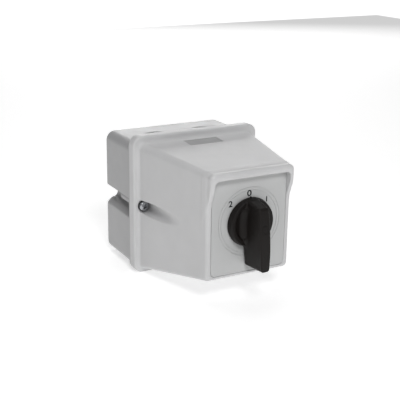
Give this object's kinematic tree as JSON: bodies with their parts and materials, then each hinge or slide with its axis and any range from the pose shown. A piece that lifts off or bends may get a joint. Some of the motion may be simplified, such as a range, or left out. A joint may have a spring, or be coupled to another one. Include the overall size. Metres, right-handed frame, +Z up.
{
  "type": "enclosed rotary cam switch",
  "caption": "Surface-mount enclosed rotary isolating changeover switch with lever knob, tapered hooded cover and inner cam contact stack.",
  "frame": {"origin": "centre of the flat wall face of the rear box", "axes": "+Z up, +Y into the wall, the dial faces -Y, +X to the right seen from the front"},
  "size_m": [0.11, 0.161, 0.1112],
  "materials": {
    "grey_moulding": "light grey moulded plastic, fine grain",
    "grey_base": "light grey moulded plastic, fine grain",
    "dial_plate": "satin light grey plate",
    "black_plastic": "black moulded plastic, semi matt",
    "rubber": "matt black rubber",
    "zinc_steel": "bright zinc plated",
    "shaft_steel": "turned steel",
    "spring_steel": "drawn spring wire",
    "brass": "machined brass",
    "contact_copper": "stamped copper alloy",
    "switch_moulding": "dark grey thermoset moulding",
    "natural_nylon": "natural nylon",
    "cam_nylon": "green nylon"
  },
  "bodies": {
    "enclosure": {"base_box": "grey_base", "cover_hood": "grey_moulding", "cover_gasket": "rubber", "cover_screws": "zinc_steel", "cover_screw_washers": "rubber", "threaded_inserts": "brass", "legend_plate": "dial_plate", "name_badge": "grey_base", "panel_bush": "black_plastic", "shaft_seal": "rubber", "mounting_screws": "zinc_steel", "earth_terminal": "brass", "earth_clamp_screws": "zinc_steel", "earth_fixing_screw": "zinc_steel", "latch_housing": "switch_moulding", "latch_plate": "natural_nylon", "detent_spring_left": "spring_steel", "detent_spring_right": "spring_steel", "chamber_1": "switch_moulding", "chamber_2": "switch_moulding", "chamber_3": "switch_moulding", "fixed_contacts_1": "contact_copper", "fixed_contacts_2": "contact_copper", "fixed_contacts_3": "contact_copper", "contact_spring_left_1": "spring_steel", "contact_spring_left_2": "spring_steel", "contact_spring_left_3": "spring_steel", "contact_spring_right_1": "spring_steel", "contact_spring_right_2": "spring_steel", "contact_spring_right_3": "spring_steel", "terminal_screws": "zinc_steel", "rear_plate": "switch_moulding", "tie_screws": "zinc_steel"},
    "rotor": {"knob": "black_plastic", "knob_cap": "black_plastic", "knob_screw": "zinc_steel", "shaft": "shaft_steel", "retaining_ring": "shaft_steel", "star_wheel": "natural_nylon", "cam_1": "cam_nylon", "cam_2": "cam_nylon", "cam_3": "cam_nylon"},
    "contacts_right": {"carrier_right_1": "natural_nylon", "carrier_right_2": "natural_nylon", "carrier_right_3": "natural_nylon", "bridge_right_1": "contact_copper", "bridge_right_2": "contact_copper", "bridge_right_3": "contact_copper"},
    "contacts_left": {"carrier_left_1": "natural_nylon", "carrier_left_2": "natural_nylon", "carrier_left_3": "natural_nylon", "bridge_left_1": "contact_copper", "bridge_left_2": "contact_copper", "bridge_left_3": "contact_copper"},
    "click_right": {"detent_plunger_right": "natural_nylon"},
    "click_left": {"detent_plunger_left": "natural_nylon"}
  },
  "joints": [
    {"name": "knob_turn", "type": "hinge", "parent": "enclosure", "child": "rotor", "pos_m": [0, -0.137, 0.0044], "axis": [0, 1, 0], "range_deg": [-45, 45]},
    {"name": "contacts_right_slide", "type": "slide", "parent": "enclosure", "child": "contacts_right", "axis": [-1, 0, 0], "range_m": [-0.0016, 0.0016], "deforming": ["contact_spring_right_1", "contact_spring_right_2", "contact_spring_right_3"]},
    {"name": "contacts_left_slide", "type": "slide", "parent": "enclosure", "child": "contacts_left", "axis": [1, 0, 0], "range_m": [-0.0016, 0.0016], "deforming": ["contact_spring_left_1", "contact_spring_left_2", "contact_spring_left_3"]},
    {"name": "click_right_slide", "type": "slide", "parent": "enclosure", "child": "click_right", "axis": [1, 0, 0], "range_m": [-0.0012, 0], "deforming": ["detent_spring_right"]},
    {"name": "click_left_slide", "type": "slide", "parent": "enclosure", "child": "click_left", "axis": [-1, 0, 0], "range_m": [-0.0012, 0], "deforming": ["detent_spring_left"]}
  ],
  "couplings": [
    {"joint": "contacts_right_slide", "follows": "knob_turn", "m_per_rad": 0.0019099},
    {"joint": "contacts_left_slide", "follows": "knob_turn", "m_per_rad": -0.0019099},
    {"joint": "click_left_slide", "follows": "click_right_slide", "ratio": 1}
  ]
}
